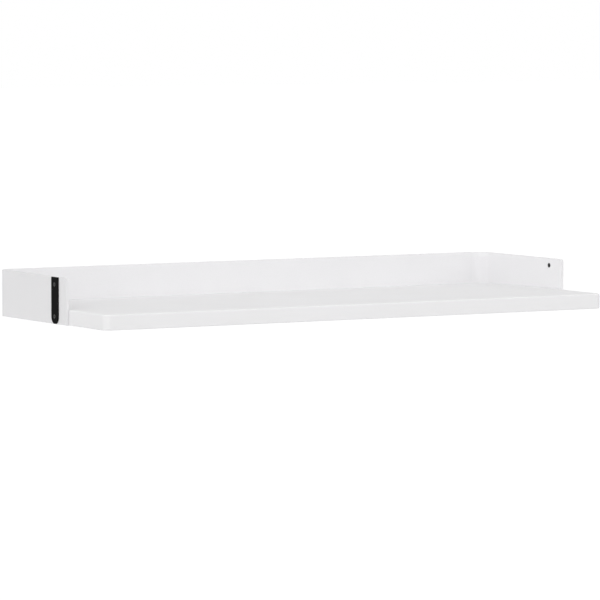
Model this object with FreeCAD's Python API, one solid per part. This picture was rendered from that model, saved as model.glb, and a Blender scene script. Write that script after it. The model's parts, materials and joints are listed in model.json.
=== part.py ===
# Floating wall shelf: a lacquered board in a low U-shaped upstand of bent sheet. Between the side walls the
# board's top falls a little to the back, so that nothing rolls off. A flat strap is bolted to the outside of
# each side wall. A bar screwed to the wall carries the shelf on three rods, which run through the upstand's
# back wall into the board.
# Lengths are in millimetres. X runs along the wall, -Y points to the front and +Z points up.
# The wall is the plane y = 0, and the origin is the centre of the wall bar's screw holes.
import FreeCAD, Part
import math
import os

from FreeCAD import Vector

# Whole shelf
shelf_width = 800.0
shelf_depth = 315.0  # from the rear of the upstand to the front of the board

# Upstand, one bent sheet
upstand_height = 64.0
sheet_thickness = 4.0
side_wall_depth = 212.0
bend_inner_radius = 20.0
wall_corner_radius = 4.0  # upper front corners of the side walls
sheet_edge_radius = 0.6

# Board
board_thickness = 21.0
board_fall = 3.0  # drop of the top, from the front ends of the side walls to the back wall
board_corner_radius = 9.0
board_upper_edge_radius = 2.0
board_lower_edge_radius = 0.8
board_clearance = 0.05  # between the board and the sheet around it

# Straps on the side walls
strap_width = 19.0
strap_thickness = 2.0
strap_setback = 31.5  # from the front end of a side wall to the middle of its strap
strap_end_inset = 0.5  # from the upper and lower edges of a side wall to the ends of its strap
strap_edge_radius = 0.5
strap_bolt_drop = 10.4  # from the top of a side wall to the upper bolt of its strap

# Countersunk bolts of the straps
bolt_radius = 1.5
bolt_head_radius = 2.85
bolt_socket_width = 2.0
bolt_socket_depth = 1.1
bolt_clearance = 0.25  # around a shank in a plain hole
thread_clearance = 0.05  # around a shank in a threaded hole
bolt_end_gap = 0.5  # between the end of a shank and the bottom of its hole

# Barrel nuts of the upper bolts, inside the side walls
nut_head_radius = 3.2
nut_head_height = 1.3
nut_rim_height = 0.4
nut_barrel_radius = 2.4
nut_barrel_recess = 0.5  # from the outer face of a side wall to the end of the barrel
nut_barrel_clearance = 0.15
nut_floor = 1.0  # closed end of the barrel, next to the head

# Threaded inserts of the lower bolts, in the side edges of the board
insert_radius = 3.0
insert_length = 12.0
insert_groove_width = 1.2
insert_groove_depth = 0.4
insert_groove_spacing = 3.6

# Bar on the wall
bar_end_distance = 70.0  # from the end of the shelf to the end of the bar
bar_height = 52.0
bar_thickness = 5.0
bar_lift = 2.0  # from the underside of the shelf to the lower edge of the bar
bar_corner_radius = 6.0
fixing_end_distance = 30.0  # from the end of the bar to its wall holes
fixing_edge_distance = 12.0  # from the long edges of the bar to its wall holes
fixing_hole_radius = 2.75
fixing_sink_radius = 5.25  # rim of the countersink for a wall screw

# Rods of the bar
rod_names = ("rod_left", "rod_middle", "rod_right")
rod_radius = 5.0
rod_reach = 150.0  # from the front of the bar to the tip
rod_tip_chamfer = 1.5
rod_spigot_radius = 3.5
rod_spigot_recess = 0.5  # from the wall to the end of the spigot
rod_clearance = 0.2
rod_end_gap = 3.0

# Furniture screws from the back wall into the board
screw_end_distance = 50.0  # from the end of the shelf to the outermost screw
screw_radius = 2.5
screw_head_radius = 4.4
screw_length = 40.0
screw_tip_length = 4.0
screw_tip_radius = 1.0
screw_socket_width = 3.0
screw_socket_depth = 1.8
screw_clearance = 0.2

# Making
cut_overrun = 1.0  # how far a cutting tool runs past the face that it opens
match_tolerance = 0.001
hexagon_sides = 6

# Places that several pieces share
underside = -bar_lift - bar_height / 2
upstand_top = underside + upstand_height
board_top = underside + board_thickness
board_rear_top = board_top - board_fall
bore_z = (underside + board_rear_top) / 2
upper_bolt_z = upstand_top - strap_bolt_drop
lower_bolt_z = (underside + board_top) / 2
upstand_rear = -bar_thickness
wall_front = upstand_rear - side_wall_depth
strap_y = wall_front + strap_setback
board_half_width = shelf_width / 2 - sheet_thickness - board_clearance
board_rear = upstand_rear - sheet_thickness - board_clearance
board_front = upstand_rear - shelf_depth
wall_grip = sheet_thickness + strap_thickness
bar_length = shelf_width - 2 * bar_end_distance
fixing_x = bar_length / 2 - fixing_end_distance
fixing_z = bar_height / 2 - fixing_edge_distance
rod_spacing = bar_length / len(rod_names)
rod_xs = [(place - (len(rod_names) - 1) / 2) * rod_spacing for place in range(len(rod_names))]
screw_outer_x = shelf_width / 2 - screw_end_distance
screw_inner_x = rod_spacing / 2
screw_xs = (-screw_outer_x, -screw_inner_x, screw_inner_x, screw_outer_x)

up = Vector(0, 0, 1)
to_front = Vector(0, -1, 0)


def outward(side):
    """Direction out of the shelf at its left end (side -1) or right end (side 1)."""
    return Vector(side, 0, 0)


def same(a, b):
    return abs(a - b) < match_tolerance


def carved(solid, tools):
    """A solid less a list of cutting tools."""
    return solid.cut(tools).Solids[0]


def joined(solid, other):
    return solid.fuse(other).Solids[0]


def drill(radius, mouth, direction, depth):
    """Cutting cylinder that enters at the mouth and runs to a depth."""
    return Part.makeCylinder(radius, depth + cut_overrun, mouth - direction * cut_overrun, direction)


def countersink(hole_radius, rim_radius, mouth, direction):
    """Cutting cone of 90 degrees that opens a hole's mouth to a rim radius."""
    depth = rim_radius - hole_radius + cut_overrun
    start = mouth - direction * cut_overrun
    return Part.makeCone(rim_radius + cut_overrun, hole_radius, depth, start, direction)


def hexagon_prism(width, bottom, height):
    """Upright prism, given across its flats."""
    corner_radius = width / 2 / math.cos(math.pi / hexagon_sides)
    turns = [2 * math.pi * step / hexagon_sides for step in range(hexagon_sides + 1)]
    corners = [Vector(corner_radius * math.cos(t), corner_radius * math.sin(t), bottom) for t in turns]
    return Part.Face(Part.makePolygon(corners)).extrude(up * height)


def flat_head_blank(head_radius, shank_radius, length, socket_width, socket_depth):
    """Countersunk head with its face on z = 0 and a hexagon socket, and a plain shank along +Z."""
    head_height = head_radius - shank_radius
    head = Part.makeCone(head_radius, shank_radius, head_height)
    shank = Part.makeCylinder(shank_radius, length - head_height, Vector(0, 0, head_height))
    socket = hexagon_prism(socket_width, -cut_overrun, socket_depth + cut_overrun)
    return carved(joined(head, shank), [socket])


def domed_disc(radius, rim_height, crown_height):
    """Round head on z = 0 with an upright rim and a crown that is part of a sphere."""
    rise = crown_height - rim_height
    sphere_radius = (radius ** 2 + rise ** 2) / (2 * rise)
    sphere = Part.makeSphere(sphere_radius, Vector(0, 0, crown_height - sphere_radius))
    return Part.makeCylinder(radius, crown_height).common(sphere).Solids[0]


def placed(solid, position, direction):
    """Turn a piece that was made along +Z to a direction, and move it to its place."""
    solid.Placement = FreeCAD.Placement(position, FreeCAD.Rotation(up, direction))
    return solid


def upright_edges(solid, y):
    """Vertical edges of a block that stand at one depth."""
    return [
        edge for edge in solid.Edges
        if all(same(corner.Y, y) for corner in edge.Vertexes) and same(edge.BoundBox.XLength, 0)
    ]


def round_cornered_block(half_width, rear, front, height, radius, rounded_y):
    """Block on the underside plane with its two upright edges at one depth rounded."""
    block = Part.makeBox(2 * half_width, rear - front, height, Vector(-half_width, front, underside))
    return block.makeFillet(radius, upright_edges(block, rounded_y))


def wall_corner_edges(sheet):
    """Short edges across the sheet, at the upper front corners of the side walls."""
    return [
        edge for edge in sheet.Edges
        if all(same(corner.Y, wall_front) and same(corner.Z, upstand_top) for corner in edge.Vertexes)
    ]


def eased_edges(sheet):
    """Edges on both sides of the sheet along the front ends, the round corners and the top."""
    def is_eased(edge):
        box = edge.BoundBox
        across = same(box.YLength, 0) and same(box.XLength, sheet_thickness)
        at_front = same(box.YMax, wall_front)
        at_top = same(box.ZMin, upstand_top)
        at_corner = same(box.YLength, wall_corner_radius) and same(box.ZLength, wall_corner_radius)
        return not across and (at_front or at_top or at_corner)
    return [edge for edge in sheet.Edges if is_eased(edge)]


def make_upstand():
    """Bent sheet: back wall and two side walls with round bends, drilled for what passes through."""
    outer_radius = bend_inner_radius + sheet_thickness
    inner_half_width = shelf_width / 2 - sheet_thickness
    inner_rear = upstand_rear - sheet_thickness
    outer = round_cornered_block(
        shelf_width / 2, upstand_rear, wall_front, upstand_height, outer_radius, upstand_rear)
    inner = round_cornered_block(
        inner_half_width, inner_rear, wall_front - cut_overrun, upstand_height, bend_inner_radius, inner_rear)
    sheet = carved(outer, [inner])
    sheet = sheet.makeFillet(wall_corner_radius, wall_corner_edges(sheet))
    sheet = sheet.makeFillet(sheet_edge_radius, eased_edges(sheet))
    through = sheet_thickness + cut_overrun
    tools = []
    for side in (-1, 1):
        wall_x = side * shelf_width / 2
        inward = outward(-side)
        upper = Vector(wall_x, strap_y, upper_bolt_z)
        lower = Vector(wall_x, strap_y, lower_bolt_z)
        tools.append(drill(nut_barrel_radius + nut_barrel_clearance, upper, inward, through))
        tools.append(drill(bolt_radius + bolt_clearance, lower, inward, through))
    for x in rod_xs:
        mouth = Vector(x, upstand_rear, bore_z)
        tools.append(drill(rod_radius + rod_clearance, mouth, to_front, through))
    for x in screw_xs:
        mouth = Vector(x, upstand_rear, bore_z)
        hole_radius = screw_radius + screw_clearance
        tools.append(drill(hole_radius, mouth, to_front, through))
        tools.append(countersink(hole_radius, screw_head_radius + screw_clearance, mouth, to_front))
    return carved(sheet, tools)


def make_fall():
    """Cutting wedge over the board, from nothing at the wall fronts to its full depth at the back wall."""
    half_width = board_half_width + cut_overrun
    slope = board_fall / (board_rear - wall_front)
    rear = board_rear + cut_overrun
    rear_floor = board_rear_top - slope * cut_overrun
    ceiling = board_top + cut_overrun
    outline = Part.makePolygon([
        Vector(-half_width, wall_front, board_top),
        Vector(-half_width, rear, rear_floor),
        Vector(-half_width, rear, ceiling),
        Vector(-half_width, wall_front, ceiling),
        Vector(-half_width, wall_front, board_top),
    ])
    return Part.Face(outline).extrude(outward(1) * 2 * half_width)


def make_plain_board():
    """Board with rounded corners, eased edges and the fall of its top, before it is bored."""
    rear_radius = bend_inner_radius - board_clearance
    block = round_cornered_block(
        board_half_width, board_rear, board_front, board_thickness, rear_radius, board_rear)
    block = block.makeFillet(board_corner_radius, upright_edges(block, board_front))
    for level, radius in ((board_top, board_upper_edge_radius), (underside, board_lower_edge_radius)):
        outline_edges = [
            edge for edge in block.Edges
            if same(edge.BoundBox.ZMin, level) and same(edge.BoundBox.ZMax, level)
        ]
        block = block.makeFillet(radius, outline_edges)
    return carved(block, [make_fall()])


def make_board():
    """Board, bored for the rods, inserts and screws."""
    sheet_and_gap = sheet_thickness + board_clearance
    tools = []
    for x in rod_xs:
        mouth = Vector(x, board_rear, bore_z)
        depth = rod_reach - sheet_and_gap + rod_end_gap
        tools.append(drill(rod_radius + rod_clearance, mouth, to_front, depth))
    for x in screw_xs:
        mouth = Vector(x, board_rear, bore_z)
        depth = screw_length - sheet_and_gap + bolt_end_gap
        tools.append(drill(screw_radius + thread_clearance, mouth, to_front, depth))
    for side in (-1, 1):
        mouth = Vector(side * board_half_width, strap_y, lower_bolt_z)
        depth = insert_length + bolt_end_gap
        tools.append(drill(insert_radius + thread_clearance, mouth, outward(-side), depth))
    return carved(make_plain_board(), tools)


def make_strap(side):
    """Flat bar down a side wall: square at the top, fully round at the lower end."""
    wall_x = side * shelf_width / 2
    half_width = strap_width / 2
    strap_top = upstand_top - strap_end_inset
    strap_foot = underside + strap_end_inset
    round_centre = strap_foot + half_width
    rear_top = Vector(wall_x, strap_y + half_width, strap_top)
    rear_low = Vector(wall_x, strap_y + half_width, round_centre)
    lowest = Vector(wall_x, strap_y, strap_foot)
    front_low = Vector(wall_x, strap_y - half_width, round_centre)
    front_top = Vector(wall_x, strap_y - half_width, strap_top)
    outline = Part.Wire([
        Part.makeLine(rear_top, rear_low),
        Part.Arc(rear_low, lowest, front_low).toShape(),
        Part.makeLine(front_low, front_top),
        Part.makeLine(front_top, rear_top),
    ])
    strap = Part.Face(outline).extrude(outward(side) * strap_thickness)
    face_x = wall_x + side * strap_thickness
    face_edges = [
        edge for edge in strap.Edges
        if same(edge.BoundBox.XLength, 0) and same(edge.BoundBox.XMin, face_x)
    ]
    strap = strap.makeFillet(strap_edge_radius, face_edges)
    through = strap_thickness + cut_overrun
    inward = outward(-side)
    hole_radius = bolt_radius + bolt_clearance
    tools = []
    for height in (upper_bolt_z, lower_bolt_z):
        mouth = Vector(face_x, strap_y, height)
        tools.append(drill(hole_radius, mouth, inward, through))
        tools.append(countersink(hole_radius, bolt_head_radius + bolt_clearance, mouth, inward))
    return carved(strap, tools)


def make_bolt(side, height, length):
    """Countersunk bolt with a hexagon socket, flush with the outer face of the strap."""
    bolt = flat_head_blank(bolt_head_radius, bolt_radius, length, bolt_socket_width, bolt_socket_depth)
    face = Vector(side * (shelf_width / 2 + strap_thickness), strap_y, height)
    return placed(bolt, face, outward(-side))


def upper_bolt_length():
    """Length that ends just short of the closed end of the barrel nut."""
    return wall_grip - nut_floor - bolt_end_gap


def lower_bolt_length():
    """Length that ends just short of the inner end of the insert."""
    return wall_grip + board_clearance + insert_length - bolt_end_gap


def make_nut(side):
    """Barrel nut: a low dome against the inside of the wall, with its barrel in the wall."""
    head = domed_disc(nut_head_radius, nut_rim_height, nut_head_height)
    barrel_length = sheet_thickness - nut_barrel_recess
    barrel = Part.makeCylinder(nut_barrel_radius, barrel_length, Vector(0, 0, -barrel_length))
    mouth = Vector(0, 0, -barrel_length)
    bore = drill(bolt_radius + thread_clearance, mouth, up, barrel_length - nut_floor)
    nut = carved(joined(head, barrel), [bore])
    seat = Vector(side * (shelf_width / 2 - sheet_thickness), strap_y, upper_bolt_z)
    return placed(nut, seat, outward(-side))


def make_insert(side):
    """Threaded sleeve with ring grooves, flush with the side edge of the board."""
    sleeve = Part.makeCylinder(insert_radius, insert_length, Vector(0, 0, -insert_length))
    bore = drill(bolt_radius + thread_clearance, Vector(0, 0, 0), -up, insert_length + cut_overrun)
    tools = [bore]
    for step in (-1, 1):
        middle = -insert_length / 2 + step * insert_groove_spacing / 2
        low = Vector(0, 0, middle - insert_groove_width / 2)
        ring = Part.makeCylinder(insert_radius + cut_overrun, insert_groove_width, low)
        core = Part.makeCylinder(insert_radius - insert_groove_depth, insert_groove_width, low)
        tools.append(ring.cut(core))
    seat = Vector(side * board_half_width, strap_y, lower_bolt_z)
    return placed(carved(sleeve, tools), seat, outward(side))


def make_wall_bar():
    """Flat bar with rounded corners, four countersunk wall holes and a hole for each rod."""
    corner = Vector(-bar_length / 2, -bar_thickness, -bar_height / 2)
    bar = Part.makeBox(bar_length, bar_thickness, bar_height, corner)
    corner_edges = [edge for edge in bar.Edges if same(edge.BoundBox.YLength, bar_thickness)]
    bar = bar.makeFillet(bar_corner_radius, corner_edges)
    to_wall = -to_front
    through = bar_thickness + cut_overrun
    tools = []
    for x in (-fixing_x, fixing_x):
        for z in (-fixing_z, fixing_z):
            mouth = Vector(x, -bar_thickness, z)
            tools.append(drill(fixing_hole_radius, mouth, to_wall, through))
            tools.append(countersink(fixing_hole_radius, fixing_sink_radius, mouth, to_wall))
    for x in rod_xs:
        mouth = Vector(x, -bar_thickness, bore_z)
        tools.append(drill(rod_spigot_radius + rod_clearance, mouth, to_wall, through))
    return carved(bar, tools)


def make_rod(x):
    """Round rod with a chamfered tip, and a spigot that sits in the wall bar."""
    body = Part.makeCylinder(rod_radius, rod_reach - rod_tip_chamfer)
    tip_foot = Vector(0, 0, rod_reach - rod_tip_chamfer)
    tip = Part.makeCone(rod_radius, rod_radius - rod_tip_chamfer, rod_tip_chamfer, tip_foot)
    spigot_length = bar_thickness - rod_spigot_recess
    spigot = Part.makeCylinder(rod_spigot_radius, spigot_length, Vector(0, 0, -spigot_length))
    rod = joined(joined(body, tip), spigot)
    return placed(rod, Vector(x, -bar_thickness, bore_z), to_front)


def make_screw(x):
    """Countersunk screw with a hexagon socket, flush with the rear of the back wall."""
    blank_length = screw_length - screw_tip_length
    blank = flat_head_blank(
        screw_head_radius, screw_radius, blank_length, screw_socket_width, screw_socket_depth)
    tip = Part.makeCone(screw_radius, screw_tip_radius, screw_tip_length, Vector(0, 0, blank_length))
    screw = joined(blank, tip)
    return placed(screw, Vector(x, upstand_rear, bore_z), to_front)


def make_nodes():
    """Every piece of the shelf by its name."""
    nodes = {
        "shelf_board": make_board(),
        "upstand": make_upstand(),
        "wall_bar": make_wall_bar(),
    }
    for name, side in (("left", -1), ("right", 1)):
        nodes["strap_" + name] = make_strap(side)
        nodes["upper_bolt_" + name] = make_bolt(side, upper_bolt_z, upper_bolt_length())
        nodes["upper_nut_" + name] = make_nut(side)
        nodes["lower_bolt_" + name] = make_bolt(side, lower_bolt_z, lower_bolt_length())
        nodes["side_insert_" + name] = make_insert(side)
    for name, x in zip(rod_names, rod_xs):
        nodes[name] = make_rod(x)
    for number, x in enumerate(screw_xs, start=1):
        nodes["rear_screw_" + str(number)] = make_screw(x)
    return nodes


os.makedirs("parts", exist_ok=True)
for node_name, node_solid in make_nodes().items():
    node_solid.exportStep("parts/" + node_name + ".step")
    print(node_name, node_solid.ShapeType, node_solid.isValid(), round(node_solid.Volume))
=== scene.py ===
# %% [markdown]
# # A white wall shelf with black straps
# The solids of this shelf come from a CAD program, so every piece already has its true shape and place.
# What is left for Blender is how it looks: the finishes, the light and the camera. Each step below first
# says what the real thing is like and how it could be made, and then makes it.

# %% Load the solids
import json
import math

import bmesh
import bpy
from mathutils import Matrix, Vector


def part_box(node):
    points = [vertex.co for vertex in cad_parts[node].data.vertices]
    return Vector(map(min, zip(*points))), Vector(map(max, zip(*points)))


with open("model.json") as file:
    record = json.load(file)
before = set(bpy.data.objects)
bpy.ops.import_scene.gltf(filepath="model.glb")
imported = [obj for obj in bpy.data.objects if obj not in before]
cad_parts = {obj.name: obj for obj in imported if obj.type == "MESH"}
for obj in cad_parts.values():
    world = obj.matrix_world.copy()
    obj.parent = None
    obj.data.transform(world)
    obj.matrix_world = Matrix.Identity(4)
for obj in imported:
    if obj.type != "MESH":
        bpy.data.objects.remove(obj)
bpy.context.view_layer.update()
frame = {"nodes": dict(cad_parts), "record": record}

print("solids loaded:", len(frame["nodes"]))

# %% [markdown]
# The camera comes first, because it decides which details matter. The picture was taken with a long lens
# from the front left, a little above the shelf, so that its long edges run almost parallel. A short lens
# close by could show the same sides, but the far end would shrink. A lens of about 247 mm on a 36 mm
# sensor, some six metres away, gives the narrow cone. The camera could be aimed at a target, but two plain
# angles can be set one by one.

# %% Camera
CAMERA_PLACE = Vector((-2.899, -5.1006, 0.4026))
CAMERA_TURN = math.radians(30.362)
CAMERA_DIP = math.radians(4.136)
CAMERA_LENS = 246.58
SENSOR_WIDTH = 36.0
FAR_LIMIT = 200.0

camera_data = bpy.data.cameras.new("camera")
camera_data.sensor_width = SENSOR_WIDTH
camera_data.lens = CAMERA_LENS
camera_data.clip_end = FAR_LIMIT
camera = bpy.data.objects.new("camera", camera_data)
camera.location = CAMERA_PLACE
camera.rotation_euler = (math.pi / 2 - CAMERA_DIP, 0.0, -CAMERA_TURN)
bpy.context.scene.collection.objects.link(camera)
bpy.context.scene.camera = camera
bpy.context.scene.view_settings.view_transform = "Standard"
print("camera stands", round(CAMERA_PLACE.length, 2), "m from the wall bar")

# %% [markdown]
# Every finish here is a small network of shader nodes. They could be wired one by one, but that makes long
# scripts which hide what they mean. So a `Wire` stands for the output socket of a node and can be used in
# sums: `1 - mask` adds a Math node by itself, and the line reads like the formula that it is.

# %% Wires
class Wire:
    """Output socket of a node; arithmetic on it adds Math nodes."""

    def __init__(self, finish, socket):
        self.finish = finish
        self.socket = socket

    def math(self, operation, first, second):
        return self.finish.node("ShaderNodeMath", {"operation": operation}, {0: first, 1: second})

    def __add__(self, other):
        return self.math("ADD", self, other)

    def __radd__(self, other):
        return self.math("ADD", other, self)

    def __sub__(self, other):
        return self.math("SUBTRACT", self, other)

    def __rsub__(self, other):
        return self.math("SUBTRACT", other, self)

    def __mul__(self, other):
        return self.math("MULTIPLY", self, other)

    def __rmul__(self, other):
        return self.math("MULTIPLY", other, self)

    def __pow__(self, other):
        return self.math("POWER", self, other)

    def __abs__(self):
        return self.math("ABSOLUTE", self, 0.0)


print("wires can be added, multiplied and raised to a power")

# %% [markdown]
# A `Finish` is the node tree of a material or of the world while it is being built. Its one method `node`
# makes any node from its type, its settings and its sockets. The settings come first, because some of them
# change which sockets a node has. A socket takes a plain value, or a Wire, which becomes a link.

# %% Finishes
class Finish:
    """Node tree of a material or a world, under construction."""

    def __init__(self, owner):
        owner.use_nodes = True
        self.owner = owner
        self.tree = owner.node_tree
        self.tree.nodes.clear()

    def node(self, kind, settings, sockets, output=0):
        made = self.tree.nodes.new(kind)
        for name, value in settings.items():
            setattr(made, name, value)
        for name, value in sockets.items():
            if isinstance(value, Wire):
                self.tree.links.new(value.socket, made.inputs[name])
            else:
                made.inputs[name].default_value = value
        return Wire(self, made.outputs[output]) if made.outputs else made


print("a finish makes its nodes by one method")

# %% [markdown]
# Three things come back in every finish: where a point lies on its piece, a soft random cloud, and a ramp
# that picks out part of a cloud. Images could hold such patterns too, but they need unwrapped surfaces and
# blur up close. Noise in Object coordinates follows the true size of a piece, so its scale is simply a
# count in a metre.

# %% Places and patterns
PLAIN_DETAIL = 1.0
SOME_DETAIL = 2.0
RICH_DETAIL = 3.0


def place_on(finish):
    return finish.node("ShaderNodeTexCoord", {}, {}, output="Object")


def drawn_out(finish, place, squeeze):
    """Place whose axes are squeezed, so that a pattern on it is drawn out along them."""
    return finish.node("ShaderNodeMapping", {}, {"Vector": place, "Scale": squeeze})


def cloud(finish, place, per_metre, detail=SOME_DETAIL):
    """Soft random pattern from 0 to 1, with about that many patches in a metre."""
    return finish.node("ShaderNodeTexNoise", {}, {"Vector": place, "Scale": per_metre, "Detail": detail})


def ramp(finish, value, limits):
    """0 below the first limit and 1 above the second, in a straight line between."""
    low, high = limits
    return finish.node("ShaderNodeMapRange", {}, {"Value": value, "From Min": low, "From Max": high})


print("patterns ready: place, cloud and ramp")

# %% [markdown]
# A finish is hardly ever one colour, so colours are blended by patterns. A Math node would turn them grey,
# so the Mix node does it. It keeps its sockets for numbers, vectors and colours in one row, and those for
# colours are found by their position. A grey with a slight tint is enough for whites, blacks and steel.

# %% Colours
MIX_SHARE = 0
MIX_FIRST = 6
MIX_SECOND = 7
MIX_RESULT = 2
NO_TINT = (1.0, 1.0, 1.0)
OPAQUE = 1.0


def grey(shade, tint=NO_TINT):
    return tuple(shade * part for part in tint) + (OPAQUE,)


def colours(finish, share, first, second):
    """First colour where the share is 0, second where it is 1."""
    sockets = {MIX_SHARE: share, MIX_FIRST: first, MIX_SECOND: second}
    return finish.node("ShaderNodeMix", {"data_type": "RGBA"}, sockets, output=MIX_RESULT)


WHITE = grey(1.0)
print("white is", WHITE)

# %% [markdown]
# Paint is thinnest along the edges of a piece, so its shade changes there. The Bevel node can find edges,
# but only sharp ones, and these solids have eased edges. There the normal gives them away: on a flat it
# lies along an axis or across it, and halfway round an edge it leans by 45 degrees. With s as the square of
# its part along the axis, 4 s (1 - s) is 0 on the flats and 1 on that lean.

# %% Eased edges
def eased_edges(finish, axis):
    """1 halfway round the edges of the faces across that axis, 0 on the flats."""
    normal = finish.node("ShaderNodeTexCoord", {}, {}, output="Normal")
    lean = finish.node("ShaderNodeSeparateXYZ", {}, {"Vector": normal}, output=axis)
    square = lean * lean
    return 4 * square * (1 - square)


print("edges are found by the normal")

# %% [markdown]
# The grain of a finish is far too fine to model. A bump bends the light as if the surface had that relief,
# and adds no faces. The Principled shader then makes a surface of colour, roughness and relief. What is the
# same all over, such as how metallic a piece is, is set straight on its socket.

# %% Relief and surface
def relief(finish, height, depth):
    """Bump of a given depth in metres."""
    return finish.node("ShaderNodeBump", {}, {"Distance": depth, "Height": height})


def surface(finish, sockets):
    """Close a finish with a Principled shader and return its material."""
    shader = finish.node("ShaderNodeBsdfPrincipled", {}, sockets)
    finish.node("ShaderNodeOutputMaterial", {}, {"Surface": shader})
    print("finish:", finish.owner.name, "with", len(finish.tree.nodes), "nodes")
    return finish.owner


finishes = {}
print("finishes made so far:", len(finishes))

# %% [markdown]
# The board is fibreboard under white lacquer. Sprayed lacquer is never quite flat: it dries with the fine
# waves that painters call orange peel, a few millimetres across and some hundredths deep. It also pulls
# back from the edges a little, so these look a touch warmer, and handling leaves it glossier in some places
# than in others. A plain white shader would look like film, and stronger patterns like plaster, so each is
# only just felt.

# %% Board: white lacquer
BOARD_WHITE = grey(0.87, (0.999, 0.995, 1.006))
BOARD_SHADE = grey(0.858, (1.0, 0.996, 1.002))
BOARD_EDGE = grey(0.85, (1.0, 0.994, 0.99))
BOARD_EDGE_SHARE = 0.5
PEEL_PER_METRE = 320.0
PEEL_DEPTH = 0.00005
DUST_PER_METRE = 2600.0
DUST_HEIGHT_SHARE = 0.12
HANDLED_PER_METRE = 7.0
HANDLED_LIMITS = (0.3, 0.7)
LACQUER_ROUGHNESS = 0.46
HANDLED_ROUGHNESS = 0.1
PEEL_ROUGHNESS = 0.05
LACQUER_SPECULAR = 0.2


def board_lacquer():
    finish = Finish(bpy.data.materials.new("board_lacquer"))
    place = place_on(finish)
    peel = cloud(finish, place, PEEL_PER_METRE, PLAIN_DETAIL)
    dust = cloud(finish, place, DUST_PER_METRE, PLAIN_DETAIL)
    handled = ramp(finish, cloud(finish, place, HANDLED_PER_METRE), HANDLED_LIMITS)
    body = colours(finish, handled, BOARD_WHITE, BOARD_SHADE)
    thin = BOARD_EDGE_SHARE * eased_edges(finish, "Z")
    return surface(finish, {
        "Base Color": colours(finish, thin, body, BOARD_EDGE),
        "Roughness": LACQUER_ROUGHNESS + HANDLED_ROUGHNESS * handled + PEEL_ROUGHNESS * peel,
        "Specular IOR Level": LACQUER_SPECULAR,
        "Normal": relief(finish, peel + DUST_HEIGHT_SHARE * dust, PEEL_DEPTH),
    })


finishes["board_lacquer"] = board_lacquer()

# %% [markdown]
# The upstand is sheet metal with a fine-textured powder coat. The powder melts into a skin of tiny bumps,
# less than a millimetre apart, which makes it duller and a shade greyer than the lacquer beside it. At the
# cut edges the skin is thin, so a little of the darker ground shows through. Bumps and flecks could be two
# patterns, but one cloud for both puts each fleck on its own grain.

# %% Upstand: textured powder coat
COAT_WHITE = grey(0.82, (0.999, 0.994, 1.006))
COAT_FLECK = grey(0.755, (0.998, 0.993, 1.006))
COAT_EDGE = grey(0.76, (1.0, 0.996, 1.0))
COAT_EDGE_SHARE = 0.6
COAT_GRAINS_PER_METRE = 1300.0
COAT_GRAIN_ROUGHNESS = 0.12
FLECK_LIMITS = (0.52, 0.75)
FLECK_SHARE = 0.6
COAT_WAVES_PER_METRE = 160.0
WAVE_HEIGHT_SHARE = 0.6
COAT_PATCHES_PER_METRE = 11.0
COAT_PATCH_LIMITS = (0.35, 0.65)
COAT_PATCH_SHARE = 0.2
COAT_ROUGHNESS = 0.56
COAT_SPECULAR = 0.2
COAT_DEPTH = 0.00009


def upstand_coat():
    finish = Finish(bpy.data.materials.new("upstand_coat"))
    place = place_on(finish)
    grains = cloud(finish, place, COAT_GRAINS_PER_METRE)
    waves = cloud(finish, place, COAT_WAVES_PER_METRE, PLAIN_DETAIL)
    flecks = ramp(finish, grains, FLECK_LIMITS)
    patches = ramp(finish, cloud(finish, place, COAT_PATCHES_PER_METRE), COAT_PATCH_LIMITS)
    body = colours(finish, FLECK_SHARE * flecks + COAT_PATCH_SHARE * patches, COAT_WHITE, COAT_FLECK)
    thin = COAT_EDGE_SHARE * eased_edges(finish, "Z")
    return surface(finish, {
        "Base Color": colours(finish, thin, body, COAT_EDGE),
        "Roughness": COAT_ROUGHNESS + COAT_GRAIN_ROUGHNESS * grains,
        "Specular IOR Level": COAT_SPECULAR,
        "Normal": relief(finish, grains + WAVE_HEIGHT_SHARE * waves, COAT_DEPTH),
    })


finishes["upstand_coat"] = upstand_coat()

# %% [markdown]
# The straps are flat bar with a satin black coat. Black shows wear at once: along the edges the coat is
# rubbed to a dark grey, and specks of dust and hairlines catch the light on the flats. The hairlines could
# be drawn one by one, but a cloud drawn out along the height gives hundreds of them, none like another.

# %% Straps: satin black
STRAP_BLACK = grey(0.0022, (1.0, 1.0, 1.06))
STRAP_DUST = grey(0.02)
STRAP_WORN = grey(0.03, (1.0, 0.99, 0.97))
STRAP_GRAINS_PER_METRE = 1900.0
SPECK_LIMITS = (0.42, 0.7)
SPECK_SHARE = 0.4
HAIRLINES_PER_METRE = 2400.0
HAIRLINE_SQUEEZE = (1.0, 1.0, 0.06)
HAIRLINE_LIMITS = (0.6, 0.75)
HAIRLINE_SHARE = 0.5
STRAP_PATCHES_PER_METRE = 140.0
RUBBED_LIMITS = (0.35, 0.65)
RUBBED_SHARE = 0.7
STRAP_ROUGHNESS = 0.48
STRAP_PATCH_ROUGHNESS = 0.14
RUBBED_GLOSS = 0.08
STRAP_SPECULAR = 0.02
STRAP_DEPTH = 0.00002


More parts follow.
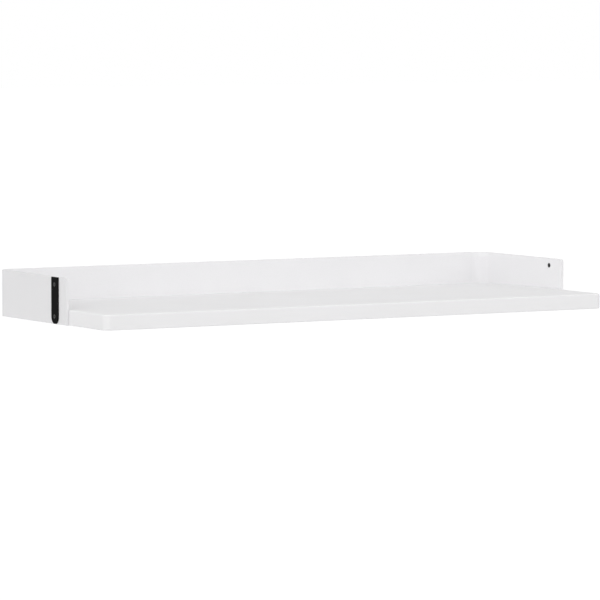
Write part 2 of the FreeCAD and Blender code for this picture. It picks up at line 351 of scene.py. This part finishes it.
def strap_black():
    finish = Finish(bpy.data.materials.new("strap_black"))
    place = place_on(finish)
    grains = cloud(finish, place, STRAP_GRAINS_PER_METRE)
    specks = ramp(finish, grains, SPECK_LIMITS)
    upright = drawn_out(finish, place, HAIRLINE_SQUEEZE)
    hairlines = ramp(finish, cloud(finish, upright, HAIRLINES_PER_METRE), HAIRLINE_LIMITS)
    patches = cloud(finish, place, STRAP_PATCHES_PER_METRE)
    rubbed = eased_edges(finish, "X") * ramp(finish, patches, RUBBED_LIMITS)
    dusty = colours(finish, HAIRLINE_SHARE * hairlines + SPECK_SHARE * specks, STRAP_BLACK, STRAP_DUST)
    return surface(finish, {
        "Base Color": colours(finish, RUBBED_SHARE * rubbed, dusty, STRAP_WORN),
        "Roughness": STRAP_ROUGHNESS + STRAP_PATCH_ROUGHNESS * patches - RUBBED_GLOSS * rubbed,
        "Specular IOR Level": STRAP_SPECULAR,
        "Normal": relief(finish, grains, STRAP_DEPTH),
    })


finishes["strap_black"] = strap_black()

# %% [markdown]
# Bolts and nuts are steel with a black oxide skin. Their rims and sockets are sharp, and there the skin
# rubs off first. For sharp edges the Bevel node is the right tool: it rounds the normal near an edge, and
# where the rounded normal leaves the true one, an edge is close.

# %% Sharp rims
RIM_REACH = 0.0003
RIM_LIMITS = (0.0, 0.4)
RIM_SAMPLES = 8


def sharp_rims(finish):
    """1 where the surface turns sharply within reach of a point, 0 on even ground."""
    rounded = finish.node("ShaderNodeBevel", {"samples": RIM_SAMPLES}, {"Radius": RIM_REACH})
    true_normal = finish.node("ShaderNodeNewGeometry", {}, {}, output="True Normal")
    along = finish.node(
        "ShaderNodeVectorMath", {"operation": "DOT_PRODUCT"}, {0: rounded, 1: true_normal}, output="Value")
    return ramp(finish, 1 - along, RIM_LIMITS)


print("rims are found within", RIM_REACH, "m of an edge")

# %% [markdown]
# A lathe leaves faint rings on the flat heads of the bolts and on the low domes of the nuts. A sine of the
# distance from the axis draws them. Each bolt could have a finish of its own for that, but upper and lower
# bolts stand one above the other, so one sum folds the height about the middle between them and gives the
# distance from either axis.

# %% Bolts and nuts: black oxide
OXIDE_BLACK = grey(0.03, (1.0, 1.0, 1.03))
OXIDE_WORN = grey(0.16, (1.0, 0.98, 0.95))
OXIDE_WORN_SHARE = 0.5
OXIDE_METALLIC = 0.7
OXIDE_ROUGHNESS = 0.34
OXIDE_GRAINS_PER_METRE = 1500.0
OXIDE_GRAIN_ROUGHNESS = 0.12
OXIDE_GRAIN_HEIGHT_SHARE = 0.5
RINGS_PER_METRE = 2600.0
RING_HEIGHT_SHARE = 0.3
RING_DEPTH = 0.000006


def bolt_axis(node):
    low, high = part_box(node)
    return (low + high) / 2


def distance_from_bolts(finish, place):
    lower = bolt_axis("lower_bolt_left")
    upper = bolt_axis("upper_bolt_left")
    along = finish.node("ShaderNodeSeparateXYZ", {}, {"Vector": place}, output="Y") - lower.y
    level = finish.node("ShaderNodeSeparateXYZ", {}, {"Vector": place}, output="Z")
    above = abs(level - (lower.z + upper.z) / 2) - (upper.z - lower.z) / 2
    return (along * along + above * above) ** 0.5


def fixing_black():
    finish = Finish(bpy.data.materials.new("fixing_black"))
    place = place_on(finish)
    turns = distance_from_bolts(finish, place) * (RINGS_PER_METRE * 2 * math.pi)
    rings = finish.node("ShaderNodeMath", {"operation": "SINE"}, {0: turns})
    grains = cloud(finish, place, OXIDE_GRAINS_PER_METRE)
    worn = OXIDE_WORN_SHARE * sharp_rims(finish) * grains
    return surface(finish, {
        "Base Color": colours(finish, worn, OXIDE_BLACK, OXIDE_WORN),
        "Metallic": OXIDE_METALLIC,
        "Roughness": OXIDE_ROUGHNESS + OXIDE_GRAIN_ROUGHNESS * grains,
        "Normal": relief(finish, RING_HEIGHT_SHARE * rings + OXIDE_GRAIN_HEIGHT_SHARE * grains, RING_DEPTH),
    })


finishes["fixing_black"] = fixing_black()

# %% [markdown]
# Behind the shelf, out of sight once it hangs, are a steel bar, its rods and the furniture screws, all zinc
# plated. Bright zinc is a bluish grey with a faint yellow cast in broad patches. It covers the lengthwise
# lines that rolling left in the steel without filling them, so they show as dull streaks. Stretched
# highlights could stand for these lines, but streaks in colour, roughness and relief also show where no
# light is mirrored.

# %% Bar, rods and screws: zinc plate
ZINC_BLUE = grey(0.50, (0.97, 0.99, 1.0))
ZINC_YELLOW = grey(0.48, (1.0, 0.985, 0.93))
ZINC_DULL = grey(0.34, (0.98, 0.99, 1.0))
ROLLED_SQUEEZE = (0.015, 1.0, 1.0)
ROLLED_PER_METRE = 1700.0
ROLLED_ROUGHNESS = 0.18
ROLLED_DEPTH = 0.00001
STREAK_LIMITS = (0.45, 0.7)
STREAK_SHARE = 0.45
CAST_PER_METRE = 16.0
CAST_LIMITS = (0.35, 0.7)
CAST_SHARE = 0.7
CAST_ROUGHNESS = 0.08
ZINC_GRAINS_PER_METRE = 900.0
ZINC_GRAIN_SHARE = 0.12
ZINC_GRAIN_HEIGHT_SHARE = 0.3
ZINC_ROUGHNESS = 0.26
PURE_METAL = 1.0


def zinc_steel():
    finish = Finish(bpy.data.materials.new("zinc_steel"))
    place = place_on(finish)
    lengthwise = drawn_out(finish, place, ROLLED_SQUEEZE)
    rolled = cloud(finish, lengthwise, ROLLED_PER_METRE, RICH_DETAIL)
    streaks = ramp(finish, rolled, STREAK_LIMITS)
    cast = ramp(finish, cloud(finish, place, CAST_PER_METRE, RICH_DETAIL), CAST_LIMITS)
    grains = cloud(finish, place, ZINC_GRAINS_PER_METRE)
    plate = colours(finish, CAST_SHARE * cast, ZINC_BLUE, ZINC_YELLOW)
    dull = STREAK_SHARE * streaks + ZINC_GRAIN_SHARE * grains
    return surface(finish, {
        "Base Color": colours(finish, dull, plate, ZINC_DULL),
        "Metallic": PURE_METAL,
        "Roughness": ZINC_ROUGHNESS + ROLLED_ROUGHNESS * rolled + CAST_ROUGHNESS * cast,
        "Normal": relief(finish, rolled + ZINC_GRAIN_HEIGHT_SHARE * grains, ROLLED_DEPTH),
    })


finishes["zinc_steel"] = zinc_steel()

# %% [markdown]
# The threaded sleeves in the board's side edges are turned brass, a warm yellow that tarnishes to brown in
# spots. The tool marks run round the sleeve, so they are a cloud drawn out across its axis: fine along the
# sleeve, and nearly even round it.

# %% Sleeves: turned brass
BRASS_BRIGHT = (0.72, 0.53, 0.24, OPAQUE)
BRASS_BROWN = (0.42, 0.28, 0.12, OPAQUE)
SPOTS_PER_METRE = 420.0
SPOT_LIMITS = (0.5, 0.8)
SPOT_ROUGHNESS = 0.2
TURNED_SQUEEZE = (1.0, 0.05, 0.05)
TURNED_PER_METRE = 3000.0
TURNED_ROUGHNESS = 0.1
TURNED_DEPTH = 0.000008
BRASS_ROUGHNESS = 0.26


def insert_brass():
    finish = Finish(bpy.data.materials.new("insert_brass"))
    place = place_on(finish)
    spots = ramp(finish, cloud(finish, place, SPOTS_PER_METRE, RICH_DETAIL), SPOT_LIMITS)
    marks = cloud(finish, drawn_out(finish, place, TURNED_SQUEEZE), TURNED_PER_METRE)
    return surface(finish, {
        "Base Color": colours(finish, spots, BRASS_BRIGHT, BRASS_BROWN),
        "Metallic": PURE_METAL,
        "Roughness": BRASS_ROUGHNESS + SPOT_ROUGHNESS * spots + TURNED_ROUGHNESS * marks,
        "Normal": relief(finish, marks, TURNED_DEPTH),
    })


finishes["insert_brass"] = insert_brass()

# %% [markdown]
# Now the solids put on their finishes. They could be dressed one by one by name, but the record that came
# with them lists which piece wears which finish, so one loop dresses them all.

# %% Dress the solids
for subpart in frame["record"]["subparts"]:
    for slot in frame["nodes"][subpart["node"]].material_slots:
        slot.material = finishes[subpart["material_slot"]]

# %% [markdown]
# The surround has to look white in the picture and in reflections, and yet light the shelf no more than a
# real studio does. Stronger light could turn it white, but it would burn out the shelf as well. The Light
# Path node tells the kinds of rays apart, so white can be shown to some of them alone.

# %% Rays that see white
def seen_directly(finish):
    """1 for rays from the camera and for reflections, 0 for the light that reaches a dull surface."""
    rays = [finish.node("ShaderNodeLightPath", {}, {}, output=name + " Ray")
            for name in ("Is Camera", "Is Glossy", "Is Transmission")]
    either = finish.node("ShaderNodeMath", {"operation": "MAXIMUM"}, {0: rays[0], 1: rays[1]})
    return finish.node("ShaderNodeMath", {"operation": "MAXIMUM"}, {0: either, 1: rays[2]})


print("camera, glossy and transmission rays see white")

# %% [markdown]
# The light is that of a white studio tent. Fronts, left sides and even the round corners between them are
# about equally bright, the top is a shade darker, and the right-hand end turns away into shade. So the tent
# is bright in front and on the left, and dim on the right and behind the shelf. A lamp would add a hot spot
# in the bends of the upstand, so there is none. A direction of length one has parts x, y and z whose
# squares add up to one, so these squares blend the sides of the tent with no seam. Each side is given by
# its axis, its sign along that axis and its strength.

# %% Tent
TENT_SIDES = {
    "front": ("Y", -1.0, 1.7),
    "left": ("X", -1.0, 1.76),
    "right": ("X", 1.0, 0.82),
    "rear": ("Y", 1.0, 0.4),
    "ceiling": ("Z", 1.0, 0.59),
}

world = bpy.data.worlds.new("tent")
bpy.context.scene.world = world
tent = Finish(world)
direction = tent.node("ShaderNodeTexCoord", {}, {}, output="Generated")
fill = 0.0
for axis, sign, strength in TENT_SIDES.values():
    part = sign * tent.node("ShaderNodeSeparateXYZ", {}, {"Vector": direction}, output=axis)
    facing = tent.node("ShaderNodeMath", {"operation": "MAXIMUM"}, {0: part, 1: 0.0})
    fill = fill + strength * facing * facing
level = fill + (1 - fill) * seen_directly(tent)
tent_light = tent.node("ShaderNodeBackground", {}, {"Color": WHITE, "Strength": level})
tent.node("ShaderNodeOutputWorld", {}, {"Surface": tent_light})
print("tent of", len(TENT_SIDES), "sides")

# %% [markdown]
# A wall shelf hangs well above the floor, so the floor lies about a metre below it and takes only a faint,
# soft shadow. Without a floor the picture would be just as white, but the underside would get no light from
# below. A large single face is enough for it.

# %% Floor
FLOOR_DROP = 1.1
FLOOR_HALF = 60.0

floor_mesh = bpy.data.meshes.new("floor")
floor_build = bmesh.new()
bmesh.ops.create_grid(floor_build, x_segments=1, y_segments=1, size=FLOOR_HALF)
bmesh.ops.translate(floor_build, vec=(0.0, 0.0, -FLOOR_DROP), verts=floor_build.verts)
floor_build.to_mesh(floor_mesh)
floor_build.free()
floor = bpy.data.objects.new("floor", floor_mesh)
bpy.context.scene.collection.objects.link(floor)
print("floor", FLOOR_DROP, "m below the wall bar")

# %% [markdown]
# The floor's paint is a dull pale grey that takes the shadow. A little light of its own lifts it to white
# where the camera or a reflection sees it, without lighting the shelf. Its back is clear, so that a view
# from underneath passes through it.

# %% Floor paint
FLOOR_PALE = grey(0.63)
FLOOR_LIFT = 0.5

paint = Finish(bpy.data.materials.new("floor_paint"))
dull = paint.node("ShaderNodeBsdfDiffuse", {}, {"Color": FLOOR_PALE})
lift = FLOOR_LIFT * seen_directly(paint)
glow = paint.node("ShaderNodeEmission", {}, {"Color": WHITE, "Strength": lift})
lit = paint.node("ShaderNodeAddShader", {}, {0: dull, 1: glow})
clear = paint.node("ShaderNodeBsdfTransparent", {}, {})
below = paint.node("ShaderNodeNewGeometry", {}, {}, output="Backfacing")
both = paint.node("ShaderNodeMixShader", {}, {0: below, 1: lit, 2: clear})
paint.node("ShaderNodeOutputMaterial", {}, {"Surface": both})
floor_mesh.materials.append(paint.owner)
print("floor painted with", len(paint.tree.nodes), "nodes")

# %% [markdown]
# Finishes don't change a shelf's size, so the dressed shelf keeps the size of its solids.

# %% End of the scene
print("scene built")
